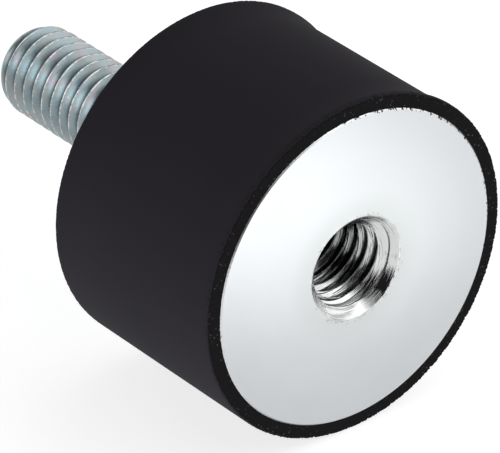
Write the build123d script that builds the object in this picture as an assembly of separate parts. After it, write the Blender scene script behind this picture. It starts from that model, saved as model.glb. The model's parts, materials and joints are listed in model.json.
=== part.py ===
"""Bobbin vibration mount: a rubber cylinder bonded to a steel insert at each end.

One insert is a plate drawn into a closed, tapped boss. The other is a plate with a headed stud in it.
The part stands on its tapped face: z = 0 is that steel face, and +Z runs along the axis to the stud's tip.
Each thread is drawn as a plain cylinder at its crests, so the bore is as wide as the nut thread's crests
and the shank as thick as the bolt thread's.
"""

import os
from math import radians, tan

from build123d import *

# Driving sizes, in millimetres and degrees

# Rubber body
BODY_DIAMETER = 30.0  # across the two moulded rims
BODY_LENGTH = 20.0  # from one steel face to the other
WAIST_DEPTH = 0.3  # how far the cured rubber draws in between the rims, on the radius
RIM_LAND = 0.4  # full-diameter band at each rim, along the axis
FLARE_LENGTH = 2.6  # from that band to where the wall runs straight
RIM_BEVEL = 0.15  # edge of each rubber rim

# Steel plates, one bonded in each end
RUBBER_COVER = 1.2  # ring of rubber round the edge of a plate
PLATE_THICKNESS = 2.0
PLATE_PROUD = 0.1  # steel face ahead of the rubber rim
FACE_EDGE_BEVEL = 0.15  # a plate's edge on its outer face
BACK_EDGE_BEVEL = 0.4  # a plate's edge on its rubber side

# Thread, the same at both ends
THREAD_DIAMETER = 8.0
THREAD_PITCH = 1.25
CREST_DEPTH_PER_PITCH = 0.5413  # from the bolt's crests in to the nut's, on the radius

# Tapped boss
MOUTH_DIAMETER = 9.2  # countersink, at the steel face
MOUTH_ANGLE = 90.0  # included
TAPPED_DEPTH = 8.0  # from the steel face
TAP_RUNOUT = 1.0  # plain bore below the last full thread
BOSS_DIAMETER = 12.5
BOSS_FLOOR = 1.0  # steel that closes the bore
BOSS_ROOT_BEVEL = 0.8
BOSS_NOSE_BEVEL = 1.2

# Threaded stud
STUD_LENGTH = 23.0  # from the steel face to the tip
TIP_LENGTH = 1.8  # rolled point, rounded down to the tip
TIP_DIAMETER = 6.6
NECK_DIAMETER = 9.0  # pressed into the plate
HEAD_DIAMETER = 14.0
HEAD_THICKNESS = 2.0
HEAD_EDGE_BEVEL = 0.4

# What follows from them
body_radius = BODY_DIAMETER / 2
plate_radius = body_radius - RUBBER_COVER
crest_radius = THREAD_DIAMETER / 2
bore_radius = crest_radius - CREST_DEPTH_PER_PITCH * THREAD_PITCH
mouth_radius = MOUTH_DIAMETER / 2
mouth_depth = (mouth_radius - bore_radius) / tan(radians(MOUTH_ANGLE / 2))
bore_depth = TAPPED_DEPTH + TAP_RUNOUT
boss_depth = bore_depth + BOSS_FLOOR
boss_radius = BOSS_DIAMETER / 2
neck_radius = NECK_DIAMETER / 2
head_radius = HEAD_DIAMETER / 2
stud_face = BODY_LENGTH
head_seat = stud_face - PLATE_THICKNESS
head_base = head_seat - HEAD_THICKNESS
tip_start = stud_face + STUD_LENGTH - TIP_LENGTH
tip_end = stud_face + STUD_LENGTH

# Outline of a plate as (radius, height), face down: from the centre over the edge to its rubber side
plate_outline = [
    (0, 0),
    (plate_radius - FACE_EDGE_BEVEL, 0),
    (plate_radius, FACE_EDGE_BEVEL),
    (plate_radius, PLATE_THICKNESS - BACK_EDGE_BEVEL),
    (plate_radius - BACK_EDGE_BEVEL, PLATE_THICKNESS),
]


def turned(outline):
    """The solid that a closed outline in (radius, height) sweeps about the axis."""
    return revolve(Plane.XZ * make_face(outline), Axis.Z)


def rubber_cylinder():
    """The moulding's outside: two full rims, and between them a wall that cured a little smaller."""
    low, high = PLATE_PROUD, stud_face - PLATE_PROUD
    waist_radius = body_radius - WAIST_DEPTH
    land_low, land_high = (body_radius, low + RIM_LAND), (body_radius, high - RIM_LAND)
    waist_low = (waist_radius, low + RIM_LAND + FLARE_LENGTH)
    waist_high = (waist_radius, high - RIM_LAND - FLARE_LENGTH)
    rim_high = [land_high, (body_radius, high - RIM_BEVEL), (body_radius - RIM_BEVEL, high)]
    rim_low = [(body_radius - RIM_BEVEL, low), (body_radius, low + RIM_BEVEL), land_low]
    outline = Polyline(*rim_high, (0, high), (0, low), *rim_low)
    outline += TangentArc(waist_low, land_low, tangent=(0, -1))
    outline += Line(waist_low, waist_high)
    outline += TangentArc(waist_high, land_high, tangent=(0, 1))
    return turned(outline)


def plate_blank():
    """One steel disc, face down on z = 0, before any hole."""
    return turned(Polyline(*plate_outline, (0, PLATE_THICKNESS), (0, 0)))


def boss_blank():
    """The tapped insert before its hole: the disc, and the closed boss drawn up from it."""
    boss_outline = [
        (boss_radius + BOSS_ROOT_BEVEL, PLATE_THICKNESS),
        (boss_radius, PLATE_THICKNESS + BOSS_ROOT_BEVEL),
        (boss_radius, boss_depth - BOSS_NOSE_BEVEL),
        (boss_radius - BOSS_NOSE_BEVEL, boss_depth),
        (0, boss_depth),
    ]
    return turned(Polyline(*plate_outline, *boss_outline, (0, 0)))


def tapped_hole():
    """What the countersink and the tap leave open in the boss."""
    mouth = [(0, 0), (mouth_radius, 0), (bore_radius, mouth_depth)]
    bore = [(bore_radius, bore_depth), (0, bore_depth)]
    return turned(Polyline(*mouth, *bore, (0, 0)))


def headed_stud():
    """Head behind the plate, neck pressed through it, and the shank with its rolled point."""
    head = [
        (0, head_base),
        (head_radius - HEAD_EDGE_BEVEL, head_base),
        (head_radius, head_base + HEAD_EDGE_BEVEL),
        (head_radius, head_seat),
    ]
    neck = [(neck_radius, head_seat), (neck_radius, stud_face)]
    point_start, point_end = (crest_radius, tip_start), (TIP_DIAMETER / 2, tip_end)
    outline = Polyline(point_end, (0, tip_end), *head, *neck, (crest_radius, stud_face), point_start)
    outline += TangentArc(point_start, point_end, tangent=(0, 1))
    return turned(outline)


# The steel, each insert where it belongs
tapped_blank = boss_blank()
tapped_plate = tapped_blank - tapped_hole()

stud_blank = Pos(0, 0, stud_face) * Rot(180, 0, 0) * plate_blank()
neck_hole = Pos(0, 0, (head_seat + stud_face) / 2) * Cylinder(neck_radius, PLATE_THICKNESS)
stud_plate = stud_blank - neck_hole
threaded_stud = headed_stud()

# The rubber is moulded round the steel, so its pockets are the inserts themselves
rubber_body = rubber_cylinder() - tapped_blank - stud_blank - threaded_stud

pieces = {
    "rubber_body": rubber_body,
    "tapped_plate": tapped_plate,
    "stud_plate": stud_plate,
    "threaded_stud": threaded_stud,
}

os.makedirs("parts", exist_ok=True)
for name, piece in pieces.items():
    piece.label = name
    export_step(piece, f"parts/{name}.step")
    print(name, "volume", round(piece.volume, 2), "mm3")
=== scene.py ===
"""Bobbin vibration mount: a rubber cylinder between two zinc-plated inserts, one tapped and one with a stud.

It stands on its tapped face, with +Z along the axis towards the stud's tip, in metres.
The photo shows it lying on its side, so the camera looks up at the tapped face from below the floor.
"""

import json
from math import atan2, ceil, cos, pi, radians, sin

import bmesh
import bpy
import numpy as np
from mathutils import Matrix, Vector


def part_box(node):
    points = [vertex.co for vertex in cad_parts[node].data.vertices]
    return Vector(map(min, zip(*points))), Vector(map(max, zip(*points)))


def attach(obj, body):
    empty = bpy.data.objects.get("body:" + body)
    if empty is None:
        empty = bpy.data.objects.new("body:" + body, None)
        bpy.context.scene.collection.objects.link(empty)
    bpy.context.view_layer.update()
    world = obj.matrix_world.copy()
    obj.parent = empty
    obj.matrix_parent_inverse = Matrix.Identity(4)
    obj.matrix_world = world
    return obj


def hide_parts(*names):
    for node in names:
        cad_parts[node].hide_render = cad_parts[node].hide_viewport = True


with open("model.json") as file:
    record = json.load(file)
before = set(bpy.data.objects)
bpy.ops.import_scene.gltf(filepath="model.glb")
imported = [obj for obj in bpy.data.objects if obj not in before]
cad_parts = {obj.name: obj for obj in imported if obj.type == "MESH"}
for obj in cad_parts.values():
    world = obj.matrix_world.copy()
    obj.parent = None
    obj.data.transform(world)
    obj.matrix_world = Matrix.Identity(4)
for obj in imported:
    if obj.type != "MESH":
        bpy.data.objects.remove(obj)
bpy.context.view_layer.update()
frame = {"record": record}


# Studio
# A white room, with a floor under the part and a table that touches its side, as in the photo.
# Each shows one side only, so that the camera can look up through the floor at the tapped face.
# Some lamps, and a pool of light on the table, show only in reflections, to give the zinc its highlights.

IMAGE_WIDTH = 500  # pixels of the photo
CAMERA_PLACE = (0.01114, 0.33172, -0.28940)
CAMERA_ANGLES = (149.445, 38.669, -135.0)  # degrees
CAMERA_FOCUS = 5549.0  # focal length in pixels of the photo
SENSOR_WIDTH = 36.0
TABLE_UP = Vector((-1, 1, 0)).normalized()  # the photo's upward direction
TABLE_SIDE = Vector((1, 1, 0)).normalized()  # across the axis, towards the camera

camera = bpy.data.objects.new("camera", bpy.data.cameras.new("camera"))
camera.location = CAMERA_PLACE
camera.rotation_euler = [radians(angle) for angle in CAMERA_ANGLES]
camera.data.sensor_width = SENSOR_WIDTH
camera.data.lens = CAMERA_FOCUS / IMAGE_WIDTH * SENSOR_WIDTH
bpy.context.scene.collection.objects.link(camera)
bpy.context.scene.camera = camera
bpy.context.scene.view_settings.view_transform = "Standard"


class Wire:
    """One output in a node tree. Arithmetic on it adds Math nodes, and node() adds any other node."""

    def __init__(self, tree, socket=None):
        self.tree = tree
        self.socket = socket

    def node(self, kind, settings=None, sockets=None, output=0):
        """Adds one node: its settings first, then the values or the wires of its sockets."""
        node = self.tree.nodes.new(kind)
        for name, value in (settings or {}).items():
            if name == "stops":
                for place, colour in value[2:]:
                    node.color_ramp.elements.new(place)
                for stop, (place, colour) in zip(node.color_ramp.elements, value):
                    stop.position = place
                    stop.color = colour
            else:
                setattr(node, name, value)
        for name, value in (sockets or {}).items():
            if isinstance(value, Wire):
                self.tree.links.new(value.socket, node.inputs[name])
            else:
                node.inputs[name].default_value = value
        return Wire(self.tree, node.outputs[output] if node.outputs else None)

    def beside(self, name):
        """Another output of the node that this wire comes from."""
        return Wire(self.tree, self.socket.node.outputs[name])

    def maths(self, operation, *values):
        return self.node("ShaderNodeMath", {"operation": operation}, dict(enumerate(values)))

    def __add__(self, other):
        return self.maths("ADD", self, other)

    def __sub__(self, other):
        return self.maths("SUBTRACT", self, other)

    def __rsub__(self, other):
        return self.maths("SUBTRACT", other, self)

    def __mul__(self, other):
        return self.maths("MULTIPLY", self, other)

    def __truediv__(self, other):
        return self.maths("DIVIDE", self, other)

    __radd__, __rmul__ = __add__, __mul__

    def least(self, other):
        return self.maths("MINIMUM", self, other)

    def most(self, other):
        return self.maths("MAXIMUM", self, other)

    def between(self, low, high):
        """0 below low, 1 above high, and a smooth step from one to the other."""
        sockets = {"Value": self, "From Min": low, "From Max": high}
        return self.node("ShaderNodeMapRange", {"interpolation_type": "SMOOTHSTEP"}, sockets)

    def axis(self, number):
        """One component of a vector: 0, 1 or 2 for X, Y or Z."""
        return self.node("ShaderNodeSeparateXYZ", None, {0: self}, number)

    def blend(self, colour_at_0, colour_at_1):
        """A mix of two colours, by this wire."""
        sockets = {0: self, 6: colour_at_0, 7: colour_at_1}
        return self.node("ShaderNodeMix", {"data_type": "RGBA"}, sockets, 2)


WHITE = (1, 1, 1, 1)
DIM_LIGHT = 0.14  # the room behind the camera, beside a white table and a white backdrop
DARK_IN_METAL = 0.93  # how much of that dim light the zinc doesn't reflect
TABLE_LIGHT = 1.75
BACK_LIGHT = 1.4  # from past the stud's tip
KEY_LIGHT = 3.8
RIM_LIGHT = 1.4
FAR_WALL = 0.5  # past the stud's tip, and only in reflections
SIDE_WALL = 1.18  # across the part from the camera, and only in reflections
KEY_SIDE = (TABLE_UP * 0.50 + TABLE_SIDE * 0.82 + Vector((0, 0, 0.28))).normalized()  # from over the camera
RIM_SIDE = (TABLE_UP * 0.71 - TABLE_SIDE * 0.17 + Vector((0, 0, 0.68))).normalized()  # from behind the part

world = bpy.data.worlds.new("white_room")
bpy.context.scene.world = world
world.use_nodes = True
world.node_tree.nodes.clear()
wire = Wire(world.node_tree)
direction = wire.node("ShaderNodeTexCoord", output="Generated")


def along(vector, axis):
    """How far a vector points along an axis."""
    return vector.node("ShaderNodeVectorMath", {"operation": "DOT_PRODUCT"}, {0: vector, 1: axis}, "Value")


in_camera = wire.node("ShaderNodeLightPath", output="Is Camera Ray")
in_metal = in_camera.beside("Is Glossy Ray")
forward = direction.axis(2)
behind = 1 - along(direction, TABLE_SIDE).between(-0.4, 0.05)
table_light = TABLE_LIGHT * (1 - along(direction, TABLE_UP).between(-0.15, 0.1))
side_light = behind * (1 - 0.8 * forward.between(0.3, 0.7))
back_light = BACK_LIGHT * forward.between(0.72, 0.95)
key_lamp = KEY_LIGHT * along(direction, KEY_SIDE).between(0.84, 0.99)
rim_lamp = RIM_LIGHT * along(direction, RIM_SIDE).between(0.85, 0.95)
far_wall = FAR_WALL * forward.between(-0.3, 0.5) * (1 - 0.7 * behind)
side_wall = SIDE_WALL * behind * (1 - forward.between(0.0, 0.3))
metal_light = in_metal * key_lamp.most(rim_lamp).most(far_wall).most(side_wall)
room = in_camera.most(table_light).most(side_light).most(back_light).most(metal_light)
strength = DIM_LIGHT * (1 - DARK_IN_METAL * in_metal) + (1 - DIM_LIGHT) * room
background = wire.node("ShaderNodeBackground", None, {"Color": WHITE, "Strength": strength})
wire.node("ShaderNodeOutputWorld", None, {"Surface": background})

rubber_low, rubber_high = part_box("rubber_body")
stud_low, stud_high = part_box("threaded_stud")
body_radius = rubber_high.x

PAINT = (0.97, 0.97, 0.97, 1)
SEEN_GLOW = 1.58  # to the camera
SEEN_SHARE = 0.5  # how far that glow takes the place of the paint
MIRRORED_GLOW = 0.8  # in reflections
MIRRORED_SHARE = 0.47
POOL_GLOW = 2.1  # and how much more in the middle of the pool
POOL_PLACE = TABLE_UP * -body_radius + TABLE_SIDE * -0.016 + Vector((0, 0, -0.039))
POOL_RADIUS = 0.032
STAGE_SIZE = 2.0


def stage_material():
    """White on the front of a face, and nothing at all on its back."""
    material = bpy.data.materials.new("stage_white")
    material.use_nodes = True
    material.node_tree.nodes.clear()
    wire = Wire(material.node_tree)
    in_camera = wire.node("ShaderNodeLightPath", output="Is Camera Ray")
    in_metal = in_camera.beside("Is Glossy Ray")
    place = wire.node("ShaderNodeTexCoord", output="Object")
    ends = {0: place, 1: POOL_PLACE}
    from_pool = wire.node("ShaderNodeVectorMath", {"operation": "DISTANCE"}, ends, "Value")
    pool = 1 - from_pool.between(0.0, POOL_RADIUS)
    glow_strength = SEEN_GLOW * in_camera + (MIRRORED_GLOW + POOL_GLOW * pool) * in_metal
    glow = wire.node("ShaderNodeEmission", None, {"Color": WHITE, "Strength": glow_strength})
    shaded = wire.node("ShaderNodeBsdfDiffuse", None, {"Color": PAINT})
    glow_share = SEEN_SHARE * in_camera + MIRRORED_SHARE * in_metal
    front = wire.node("ShaderNodeMixShader", None, {0: glow_share, 1: shaded, 2: glow})
    clear = wire.node("ShaderNodeBsdfTransparent")
    from_behind = wire.node("ShaderNodeNewGeometry", output="Backfacing")
    mixed = wire.node("ShaderNodeMixShader", None, {0: from_behind, 1: front, 2: clear})
    wire.node("ShaderNodeOutputMaterial", None, {"Surface": mixed})
    return material


def stage_plane(name, up, height, hidden_from):
    """A white square, facing up, at a height along that direction."""
    mesh = bpy.data.meshes.new(name)
    half = STAGE_SIZE / 2
    across = up.orthogonal().normalized() * half
    ahead = up.cross(across)
    signs = ((-1, -1), (1, -1), (1, 1), (-1, 1))
    mesh.from_pydata([up * height + across * x + ahead * y for x, y in signs], [], [(0, 1, 2, 3)])
    mesh.materials.append(stage_white)
    plane = bpy.data.objects.new(name, mesh)
    bpy.context.scene.collection.objects.link(plane)
    for ray in hidden_from:
        setattr(plane, "visible_" + ray, False)


stage_white = stage_material()
stage_plane("floor", Vector((0, 0, 1)), 0, ("diffuse", "glossy", "transmission", "shadow"))
stage_plane("table", TABLE_UP, -body_radius, ("diffuse", "transmission", "shadow"))

LAMP_SIDE = (TABLE_UP + Vector((0, 0, -0.4))).normalized()
LAMP_DISTANCE = 0.3
LAMP_SIZE = 0.3
LAMP_POWER = 0.14

overhead = bpy.data.objects.new("overhead", bpy.data.lights.new("overhead", "AREA"))
overhead.data.size = LAMP_SIZE
overhead.data.energy = LAMP_POWER
overhead.location = Vector((0, 0, stud_high.z / 2)) + LAMP_SIDE * LAMP_DISTANCE
overhead.rotation_euler = LAMP_SIDE.to_track_quat("Z", "Y").to_euler()
bpy.context.scene.collection.objects.link(overhead)


# Rubber body
# Black natural rubber, moulded round both inserts in one shot and bonded to them in the press.
# It cures a little smaller between its rims, and the rims keep the ragged edge of their trimmed flash.

RUBBER_SEGMENTS = 1200
WAIST = 0.00014  # mean draw on the radius
DEEP_SIDE = pi  # where the waist is deepest, as an angle about the axis
RIM_LAND = 0.0004
RIM_BEVEL = 0.00012
FLARE = 0.0026
FLARE_STEPS = 8
BOSS_RADIUS = 0.00625
BOSS_BEVEL = 0.0012
POCKET_BEVEL = 0.0004
CREASE_ANGLE = 35.0  # degrees
RAGGED_WAVES = 40
# How ragged each edge is: the stud end's inner and outer one, then the tapped end's outer and inner one
RAGGED = (0.00005, 0.00003, 0.00008, 0.00008)
RUBBER_DARK = (0.0205, 0.0198, 0.0245, 1)
RUBBER_LIGHT = (0.0285, 0.0245, 0.0300, 1)
# painted shade: the colour of the two end faces, blacker than the side
RUBBER_END_SHADE = (0.0075, 0.0072, 0.0082, 1)
DUST = (0.11, 0.11, 0.11, 1)

tapped_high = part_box("tapped_plate")[1]
plate_low, plate_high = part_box("stud_plate")
plate_radius = tapped_high.x
plate_thickness = plate_high.z - plate_low.z
head_radius = stud_high.x


def turned(name, rings, segments, closed=False):
    """A mesh swept about the Z axis. A ring's radius and height are each one number, or one per segment.

    When it is closed, the last ring meets the first, as on a disc with a hole.
    """
    angles = [2 * pi * step / segments for step in range(segments)]
    mesh = bmesh.new()
    loops = []
    for radius, height in rings:
        if np.ndim(radius) == 0 and radius == 0:
            loops.append([mesh.verts.new((0, 0, height))] * segments)
            continue
        radii = np.broadcast_to(radius, segments)
        heights = np.broadcast_to(height, segments)
        points = zip(angles, radii, heights)
        loops.append([mesh.verts.new((r * cos(a), r * sin(a), h)) for a, r, h in points])
    if closed:
        loops.append(loops[0])
    for low, high in zip(loops, loops[1:]):
        for here in range(segments):
            there = (here + 1) % segments
            mesh.faces.new(dict.fromkeys((low[here], low[there], high[there], high[here])))
    result = bpy.data.meshes.new(name)
    mesh.to_mesh(result)
    mesh.free()
    return result


def uneven(segments, size, waves, seed):
    """A closed random line about zero, as a sum of that many sine waves round the part."""
    random = np.random.default_rng(seed)
    angles = np.arange(segments) * 2 * pi / segments
    shares = random.normal(size=waves) / np.sqrt(waves / 2)
    phases = random.uniform(0, 2 * pi, waves)
    counts = random.integers(5, segments // 4, waves)
    return size * sum(s * np.sin(c * angles + p) for s, c, p in zip(shares, counts, phases))


def rubber_rings():
    """From the middle of the stud's pocket, over the stud end, down the side and in to the boss's pocket."""
    seeded = enumerate(RAGGED, 1)
    edges = [np.abs(uneven(RUBBER_SEGMENTS, size, RAGGED_WAVES, seed)) for seed, size in seeded]
    stud_inner, stud_outer, tapped_outer, tapped_inner = edges
    low = rubber_low.z
    high = rubber_high.z
    rim = body_radius - RIM_BEVEL
    angles = np.arange(RUBBER_SEGMENTS) * 2 * pi / RUBBER_SEGMENTS
    waist = WAIST * (1 + np.cos(angles - DEEP_SIDE))
    steps = [step / FLARE_STEPS for step in range(1, FLARE_STEPS + 1)]
    flare = [(body_radius - waist * (1 - (1 - step) ** 2), RIM_LAND + FLARE * step) for step in steps]
    return [
        (0, stud_low.z),
        (head_radius, stud_low.z),
        (head_radius, plate_low.z),
        (plate_radius - POCKET_BEVEL, plate_low.z),
        (plate_radius, plate_low.z + POCKET_BEVEL),
        (plate_radius - stud_inner, high),
        (plate_radius + RIM_BEVEL, high),
        (rim - stud_outer, high),
        (body_radius - stud_outer / 2, high - RIM_BEVEL),
        (body_radius, high - RIM_LAND),
        *[(radius, high - from_end) for radius, from_end in flare],
        *[(radius, low + from_end) for radius, from_end in reversed(flare)],
        (body_radius, low + RIM_LAND),
        (body_radius - tapped_outer / 2, low + RIM_BEVEL),
        (rim - tapped_outer, low),
        (plate_radius + RIM_BEVEL, low),
        (plate_radius - tapped_inner, low),
        (plate_radius, plate_thickness - POCKET_BEVEL),
        (plate_radius - POCKET_BEVEL, plate_thickness),
        (BOSS_RADIUS, plate_thickness),
        (BOSS_RADIUS, tapped_high.z - BOSS_BEVEL),
        (BOSS_RADIUS - BOSS_BEVEL, tapped_high.z),
        (0, tapped_high.z),
    ]


def principled(name, **sockets):
    """A material with one Principled shader, and a wire in its tree to build what feeds it."""
    material = bpy.data.materials.new(name)
    material.use_nodes = True
    shader = material.node_tree.nodes["Principled BSDF"]
    for socket, value in sockets.items():
        shader.inputs[socket.replace("_", " ")].default_value = value
    return material, shader, Wire(material.node_tree)


def feed(wire, shader, socket):
    """Links a wire to one socket of the shader."""
    wire.tree.links.new(wire.socket, shader.inputs[socket])


def object_place(wire):
    return wire.node("ShaderNodeTexCoord", output="Object")


def noise(wire, place, scale, detail=2.0, rough=0.5):
    sockets = {"Vector": place, "Scale": scale, "Detail": detail, "Roughness": rough}
    return wire.node("ShaderNodeTexNoise", None, sockets, "Fac")


def specks(wire, place, scale, size, share):
    """1 in small round dots, in that share of a lattice's cells, and 0 elsewhere."""
    cells = wire.node("ShaderNodeTexVoronoi", None, {"Vector": place, "Scale": scale})
    chosen = cells.beside("Color").axis(0).between(1 - share - 0.01, 1 - share)
    return chosen * (1 - cells.between(0.5 * size, size))


def black_rubber():
    """Matt black, cloudy on its side, with painted shade that blackens its two ends, and dusty there."""
    material, shader, wire = principled("black_rubber", Roughness=0.7, Specular_IOR_Level=0.04)
    place = object_place(wire)
    height = place.axis(2)
    from_end = (height - rubber_low.z).least(rubber_high.z - height)
    end = 1 - from_end.between(0.00002, RIM_BEVEL)
    dust = specks(wire, place, 6000.0, 0.4, 0.16) * noise(wire, place, 700.0).between(0.45, 0.6) * end
    side = noise(wire, place, 90.0).blend(RUBBER_DARK, RUBBER_LIGHT)
    # The two ends get painted shade, with dust specks on it
    feed(end.blend(side, dust.blend(RUBBER_END_SHADE, DUST)), shader, "Base Color")
    grain = noise(wire, place, 4000.0)
    bump = wire.node("ShaderNodeBump", None, {"Height": grain, "Strength": 0.2, "Distance": 0.00002})
    feed(bump, shader, "Normal")
    return material


def finished(name, mesh, material, node):
    """The piece's object: faces outwards, smooth but for its creases, in place of its CAD node."""
    shell = bmesh.new()
    shell.from_mesh(mesh)
    bmesh.ops.recalc_face_normals(shell, faces=shell.faces)
    shell.to_mesh(mesh)
    shell.free()
    mesh.shade_smooth()
    mesh.set_sharp_from_angle(angle=radians(CREASE_ANGLE))
    mesh.materials.clear()
    mesh.materials.append(material)
    piece = bpy.data.objects.new(name, mesh)
    bpy.context.scene.collection.objects.link(piece)
    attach(piece, "root")
    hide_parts(node)


rubber = turned("rubber", rubber_rings(), RUBBER_SEGMENTS)
finished("rubber", rubber, black_rubber(), "rubber_body")


# Tapped plate
# A steel disc, pressed into a closed boss, then drilled, countersunk and tapped, and zinc plated last.
# The press draws the face in a little round the hole, and painted shade darkens the thread's grooves.

PLATE_SEGMENTS = 256
PITCH = 0.00125
ROWS_PER_PITCH = 24
MOUTH_RADIUS = 0.0046
MOUTH_EDGE = 0.00016  # depth where the countersink starts to round over into the face
TAPPED_DEPTH = 0.008
BORE_DEPTH = 0.009
NUT_ROOT = 0.00402
NUT_FLAT = 0.08  # the crest's share of a pitch
NUT_FLANK = 0.75  # both flanks' share
WALL_MARKS = 0.00002  # how uneven the wall of a thread is
MARKS_SCALE = 1500.0
MARKS_STRETCH = 5.0  # they are that much narrower along the axis than round it
SAME_PLACE = 1e-6  # points this close are one
CAP_SHARE = 0.98  # a flat cap's radius, as a share of the wall's that it closes
FACE_BEVEL = 0.00015
BACK_BEVEL = 0.0004
DRAW_IN = 0.00006
DRAWN_FROM = 0.0003  # outside the mouth
DRAWN_WIDTH = 0.004
DRAWN_STEPS = 8
FLAT_RING = 0.011  # radius of one more ring of points, on the flat of the face
BURR = 0.00003
BURR_WAVES = 30
BURR_SEED = 5

ZINC_DULL = (0.80, 0.83, 0.85, 1)
ZINC_BRIGHT = (0.85, 0.875, 0.89, 1)
# painted shade round the hole
ZINC_HOLE_SHADE = (0.70, 0.74, 0.72, 1)
# painted highlight on the countersink and the edge's bevel
ZINC_HIGHLIGHT = (0.96, 0.97, 0.97, 1)
THREAD_OUTER = (0.98, 0.99, 0.99, 1)
# painted shade deep in the hole
THREAD_DEEP_SHADE = (0.55, 0.56, 0.56, 1)
# painted highlight on the thread's crests
THREAD_CREST_HIGHLIGHT = (0.97, 0.98, 0.98, 1)
SCORE = (0.04, 0.042, 0.042, 1)
# painted shade in the thread's grooves
GROOVE_SHADE = (0.03, 0.032, 0.032, 1)
CHATTER = (0.05, 0.05, 0.05, 1)
CHIP = (0.30, 0.29, 0.27, 1)
FLASH = (0.012, 0.011, 0.012, 1)
FLASH_SIDE = TABLE_UP * 0.65 - TABLE_SIDE * 0.75  # where most crumbs of it stick

mounts = {mount["name"]: mount for mount in frame["record"]["mounts"]}
bore_radius = mounts["tapped_hole"]["dims"]["r_mm"] / 1000


def screw_thread(name, material, internal, sizes):
    """A thread as a grid that Geometry Nodes bend round the axis: its radius follows height and turn.

    An internal thread opens into a countersink and runs out at its bottom. An external one ends in a point.
    """
    pitches = (sizes["High"] - sizes["Low"]) / PITCH
    rows = ceil((pitches + 1) * ROWS_PER_PITCH) + 1
    values = {
        "Material": material, "Rows": rows, "Rows per Pitch": ROWS_PER_PITCH,
        "Pitch": PITCH, "Marks": WALL_MARKS, **sizes,
    }
    kinds = {float: "NodeSocketFloat", int: "NodeSocketInt", bpy.types.Material: "NodeSocketMaterial"}
    tree = bpy.data.node_groups.new(name, "GeometryNodeTree")
    for socket, value in values.items():
        tree.interface.new_socket(name=socket, in_out="INPUT", socket_type=kinds[type(value)])
    tree.interface.new_socket(name="Geometry", in_out="OUTPUT", socket_type="NodeSocketGeometry")
    wire = Wire(tree)
    start = tree.nodes.new("NodeGroupInput")
    given = {socket.name: Wire(tree, socket) for socket in start.outputs if socket.name}

    counts = {"Vertices X": given["Segments"] + 1, "Vertices Y": given["Rows"]}
    grid = wire.node("GeometryNodeMeshGrid", None, {"Size X": 1.0, "Size Y": 1.0, **counts})
    spot = wire.node("GeometryNodeInputPosition")
    turn = spot.axis(0) + 0.5
    row = (spot.axis(1) + 0.5) * (given["Rows"] - 1)
    height = given["Low"] + (row / given["Rows per Pitch"] - 1 + turn) * given["Pitch"]
    height = height.most(given["Low"]).least(given["High"])
    angle = turn * (2 * pi)
    east = wire.maths("COSINE", angle)
    north = wire.maths("SINE", angle)

    # The wave is 0 where the thread comes nearest to the axis, and 1 half a pitch from there
    wave = wire.maths("ABSOLUTE", 2 * wire.maths("FRACT", height / given["Pitch"] - turn) - 1)
    flank = (wave - given["Flat"]) / given["Flank"]
    on_wall = {0: east * given["Crest"], 1: north * given["Crest"], 2: height * MARKS_STRETCH}
    marks = noise(wire, wire.node("ShaderNodeCombineXYZ", None, on_wall), MARKS_SCALE, 3.0, 0.6) - 0.5
    if internal:
        live = 1 - height.between(given["Run Out"] - 0.5 * given["Pitch"], given["Run Out"])
        depth = (given["Root"] - given["Crest"]) * flank.most(0.0).least(1.0) * live
        wall = given["Crest"] + depth + given["Marks"] * marks
        radius = wall.most(given["Mouth"] - height)
    else:
        rounded = wire.maths("SMOOTH_MAX", flank, 0.0, given["Rounding"]).least(1.0)
        past = (height - given["Point Start"]).most(0.0)
        wall = given["Root"] + (given["Crest"] - given["Root"]) * rounded + given["Marks"] * marks
        radius = wall.least(given["Crest"] - given["Point Curve"] * past * past)

    bent = wire.node("ShaderNodeCombineXYZ", None, {0: radius * east, 1: radius * north, 2: height})
    rolled = wire.node("GeometryNodeSetPosition", None, {"Geometry": grid, "Position": bent})
    closed = wire.node("GeometryNodeMergeByDistance", None, {"Geometry": rolled, "Distance": SAME_PLACE})
    real = wire.node("GeometryNodeRealizeInstances", None, {"Geometry": closed})
    painted = wire.node("GeometryNodeSetMaterial", None, {"Geometry": real, "Material": given["Material"]})
    end = tree.nodes.new("NodeGroupOutput")
    tree.links.new(painted.socket, end.inputs["Geometry"])

    holder = bpy.data.objects.new(name, bpy.data.meshes.new(name))
    bpy.context.scene.collection.objects.link(holder)
    modifier = holder.modifiers.new(name, "NODES")
    modifier.node_group = tree
    for socket in tree.interface.items_tree:
        if socket.in_out == "INPUT":
            modifier[socket.identifier] = values[socket.name]
    bpy.context.view_layer.update()
    evaluated = holder.evaluated_get(bpy.context.evaluated_depsgraph_get())
    mesh = bpy.data.meshes.new_from_object(evaluated)
    holder.modifiers.remove(modifier)
    bpy.data.objects.remove(holder)
    return mesh


def joined(name, *meshes):
    """One closed mesh of open ones: their boundary rings are joined in pairs, from the lowest up."""
    shell = bmesh.new()
    for mesh in meshes:
        shell.from_mesh(mesh)
    rings = []
    left = {edge for edge in shell.edges if edge.is_boundary}
    while left:
        ring = [left.pop()]
        for edge in ring:
            beside = [other for vert in edge.verts for other in vert.link_edges if other in left]
            left.difference_update(beside)
            ring += beside
        corners = {vert for edge in ring for vert in edge.verts}
        rings.append(sorted(corners, key=lambda vert: (atan2(vert.co.y, vert.co.x) + 0.001) % (2 * pi)))
    rings.sort(key=lambda ring: sum(vert.co.z for vert in ring) / len(ring))
    for low, high in zip(rings[::2], rings[1::2]):
        for here in range(len(low)):
            there = (here + 1) % len(low)
            shell.faces.new((low[here], low[there], high[there], high[here]))
    result = bpy.data.meshes.new(name)
    shell.to_mesh(result)
    shell.free()
    return result


def across_axis(place):
    """Distance from the part's axis."""
    flat = place.node("ShaderNodeVectorMath", {"operation": "MULTIPLY"}, {0: place, 1: (1, 1, 0)})
    return flat.node("ShaderNodeVectorMath", {"operation": "LENGTH"}, {0: flat}, "Value")


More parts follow.
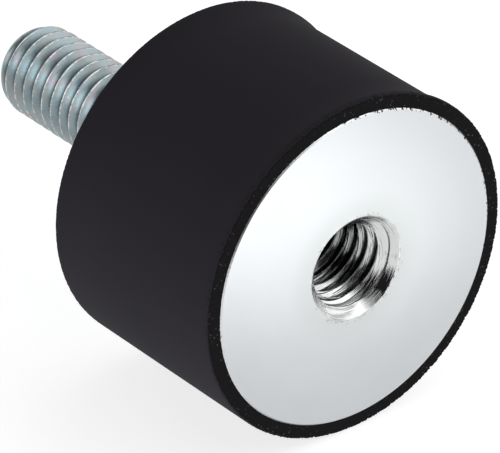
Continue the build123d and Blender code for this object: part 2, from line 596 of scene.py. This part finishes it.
def plate_zinc():
    """Satin zinc with painted shade and chips round the hole, and crumbs of rubber flash on the edge.

    The radius places painted light in the hole: highlights on the countersink and crests, shade in grooves.
    """
    material, shader, wire = principled("zinc_plate")
    place = object_place(wire)
    radius = across_axis(place)
    height = place.axis(2)
    clouds = noise(wire, place, 150.0, 3.0)
    stretched = wire.node("ShaderNodeVectorMath", {"operation": "MULTIPLY"}, {0: place, 1: (0.15, 0.15, 8)})
    tool_marks = noise(wire, stretched, 1000.0, 3.0, 0.6)
    in_hole = 1 - radius.between(MOUTH_RADIUS - 0.00004, MOUTH_RADIUS + 0.00001)
    in_thread = height.between(0.0010, 0.0014) * (1 - radius.between(0.0041, 0.0042))

    # The disc and the countersink
    # Painted shade round the hole: the face turns darker and greener towards the mouth
    hole_shade = 0.5 * (1 - radius.between(MOUTH_RADIUS, 0.0072))
    face = hole_shade.blend(clouds.blend(ZINC_DULL, ZINC_BRIGHT), ZINC_HOLE_SHADE)
    # Painted highlight: the countersink and the edge's bevel get a brighter zinc colour
    bevelled = radius.between(plate_radius - 0.00016, plate_radius - 0.00012)
    highlighted = in_hole.most(bevelled).blend(face, ZINC_HIGHLIGHT)
    chatter = noise(wire, place, 260.0).between(0.50, 0.60) * tool_marks.between(0.44, 0.50) * in_hole
    at_mouth = (1 - radius.between(MOUTH_RADIUS, 0.0052)) * (1 - in_hole)
    chips = specks(wire, place, 6000.0, 0.45, 0.25) * at_mouth * clouds.between(0.5, 0.56)
    mouth = chips.blend((0.5 * chatter).blend(highlighted, CHATTER), CHIP)

    # The thread
    # Painted shade: the thread's colour darkens deeper in the hole
    depth_shade = height.between(0.0028, 0.0054).blend(THREAD_OUTER, THREAD_DEEP_SHADE)
    scored = tool_marks.between(0.41, 0.44).blend(SCORE, depth_shade)
    # Painted shade in the thread's grooves
    groove_shade = radius.between(0.00370, 0.00378) * in_thread
    grooved = (0.9 * groove_shade).blend(scored, GROOVE_SHADE)
    # Painted highlight on the thread's crests, broken up by noise
    crest_breaks = noise(wire, place, 2200.0, 3.0, 0.7).between(0.40, 0.50)
    crest = (1 - radius.between(0.00333, 0.00337)) * in_thread * crest_breaks
    metal = in_thread.blend(mouth, crest.blend(grooved, THREAD_CREST_HIGHLIGHT))

    # The flash
    edge = radius.between(plate_radius - 0.0005, plate_radius - 0.0001)
    flash_side = along(place, FLASH_SIDE).between(0.004, 0.012)
    crumbs = noise(wire, place, 2400.0, 3.0, 0.75) + 0.16 * edge + 0.11 * edge * flash_side
    flash = crumbs.between(0.81, 0.83)

    feed(flash.blend(metal, FLASH), shader, "Base Color")
    feed(1 - flash, shader, "Metallic")
    rough = (0.26 + 0.12 * clouds) * (1 - 0.75 * in_hole) + 0.45 * crest + 0.4 * flash
    feed(rough, shader, "Roughness")
    relief = 0.08 * noise(wire, place, 5000.0) + (1.8 * in_hole + 0.3 * in_thread) * tool_marks
    relief += 0.5 * flash + 0.5 * chips
    bump = wire.node("ShaderNodeBump", None, {"Height": relief, "Strength": 1.0, "Distance": 0.00003})
    feed(bump, shader, "Normal")
    return material


zinc_plate = plate_zinc()
hole = screw_thread("tapped_thread", zinc_plate, True, {
    "Segments": PLATE_SEGMENTS, "Low": MOUTH_EDGE, "High": BORE_DEPTH,
    "Crest": bore_radius, "Root": NUT_ROOT, "Flat": NUT_FLAT, "Flank": NUT_FLANK,
    "Mouth": MOUTH_RADIUS, "Run Out": TAPPED_DEPTH,
})
plate_edge = [
    (plate_radius - FACE_BEVEL, 0),
    (plate_radius, FACE_BEVEL),
    (plate_radius, plate_thickness - BACK_BEVEL),
    (plate_radius - BACK_BEVEL, plate_thickness),
]

# The countersink rounds over into the face, with a burr on its rim
burr = np.abs(uneven(PLATE_SEGMENTS, BURR, BURR_WAVES, BURR_SEED))
mouth_edge = [
    (MOUTH_RADIUS - 0.00011, 0.00012),
    (MOUTH_RADIUS - 0.00005 + burr, 0.00008 - burr),
    (MOUTH_RADIUS + 0.00004 + burr, DRAW_IN),
]
drawn = [step / DRAWN_STEPS for step in range(DRAWN_STEPS + 1)]
drawn_face = [(MOUTH_RADIUS + DRAWN_FROM + DRAWN_WIDTH * step, DRAW_IN * (1 - step) ** 2) for step in drawn]
boss = [
    (BOSS_RADIUS, plate_thickness),
    (BOSS_RADIUS, tapped_high.z - BOSS_BEVEL),
    (BOSS_RADIUS - BOSS_BEVEL, tapped_high.z),
    (0, tapped_high.z),
]
outside_rings = mouth_edge + drawn_face + [(FLAT_RING, 0)] + plate_edge + boss
outside = turned("tapped_outside", outside_rings, PLATE_SEGMENTS)
bottom = turned("bore_bottom", [(bore_radius * CAP_SHARE, BORE_DEPTH), (0, BORE_DEPTH)], PLATE_SEGMENTS)
tapped_insert = joined("tapped_insert", hole, outside, bottom)
finished("tapped_insert", tapped_insert, zinc_plate, "tapped_plate")


# Stud plate
# The same steel disc at the other end, zinc plated too.
# The stud's neck is pressed into the round hole in its middle.

NECK_RADIUS = 0.0045

plate_rings = [(NECK_RADIUS, plate_high.z)]
plate_rings += [(radius, plate_high.z - depth) for radius, depth in plate_edge]
plate_rings += [(NECK_RADIUS, plate_low.z)]
stud_disc = turned("stud_disc", plate_rings, PLATE_SEGMENTS, closed=True)
finished("stud_disc", stud_disc, zinc_plate, "stud_plate")


# Threaded stud
# A headed steel stud with a rolled thread and a rounded point, blue zinc plated.
# Its neck is pressed through the plate, and its head is moulded into the rubber.

STUD_SEGMENTS = 144
BOLT_ROOT = 0.00326
BOLT_FLAT = 0.25  # the root's share of a pitch
BOLT_FLANK = 0.667  # both flanks' share
ROOT_ROUNDING = 0.25
POINT_LENGTH = 0.0018
POINT_RADIUS = 0.0033
HEAD_BEVEL = 0.0004
FLANK_COLOURS = [
    (0.36, (0.42, 0.52, 0.55, 1)),
    (0.48, (0.45, 0.53, 0.56, 1)),
    (0.58, (0.48, 0.53, 0.52, 1)),
    (0.70, (0.51, 0.49, 0.55, 1)),
]
# painted highlight on the stud's crests
CREST_HIGHLIGHT = (0.90, 0.90, 0.88, 1)
# painted shade at the thread's roots
ROOT_SHADE = (0.10, 0.12, 0.13, 1)

stud_radius = mounts["stud"]["dims"]["r_mm"] / 1000


def stud_zinc():
    """Blue zinc: painted highlights on its crests, painted shade in its grooves, with a faint play of
    colour.
    """
    material, shader, wire = principled("zinc_stud", Metallic=1.0)
    place = object_place(wire)
    radius = across_axis(place)
    play = noise(wire, place, 900.0, 2.0) + 0.08 * radius.between(0.0035, 0.0039) - 0.03
    flank = wire.node("ShaderNodeValToRGB", {"stops": FLANK_COLOURS}, {0: play})
    on_crest = radius.between(0.00393, 0.00397) * (1 - radius.between(0.00401, 0.00403))
    # Painted highlight along the crests, broken into dashes by noise
    crest_highlight = on_crest * noise(wire, place, 2200.0, 3.0, 0.7).between(0.48, 0.55)
    # Painted shade at the thread's roots
    root_shade = 1 - radius.between(0.00332, 0.00358)
    crests = (0.8 * crest_highlight).blend(flank, CREST_HIGHLIGHT)
    feed((0.8 * root_shade).blend(crests, ROOT_SHADE), shader, "Base Color")
    grain = noise(wire, place, 6000.0, 3.0, 0.6)
    feed(0.20 + 0.2 * grain, shader, "Roughness")
    bump = wire.node("ShaderNodeBump", None, {"Height": grain, "Strength": 0.15, "Distance": 0.00001})
    feed(bump, shader, "Normal")
    return material


zinc_stud = stud_zinc()
point_curve = (stud_radius - POINT_RADIUS) / POINT_LENGTH**2
shank = screw_thread("rolled_thread", zinc_stud, False, {
    "Segments": STUD_SEGMENTS, "Low": plate_high.z, "High": stud_high.z,
    "Crest": stud_radius, "Root": BOLT_ROOT, "Flat": BOLT_FLAT, "Flank": BOLT_FLANK,
    "Rounding": ROOT_ROUNDING, "Point Start": stud_high.z - POINT_LENGTH, "Point Curve": point_curve,
})
head_rings = [
    (0, stud_low.z),
    (head_radius - HEAD_BEVEL, stud_low.z),
    (head_radius, stud_low.z + HEAD_BEVEL),
    (head_radius, plate_low.z),
    (NECK_RADIUS, plate_low.z),
    (NECK_RADIUS, plate_high.z),
]
head = turned("stud_head", head_rings, STUD_SEGMENTS)
tip = turned("stud_tip", [(BOLT_ROOT * CAP_SHARE, stud_high.z), (0, stud_high.z)], STUD_SEGMENTS)
finished("stud", joined("stud", shank, head, tip), zinc_stud, "threaded_stud")
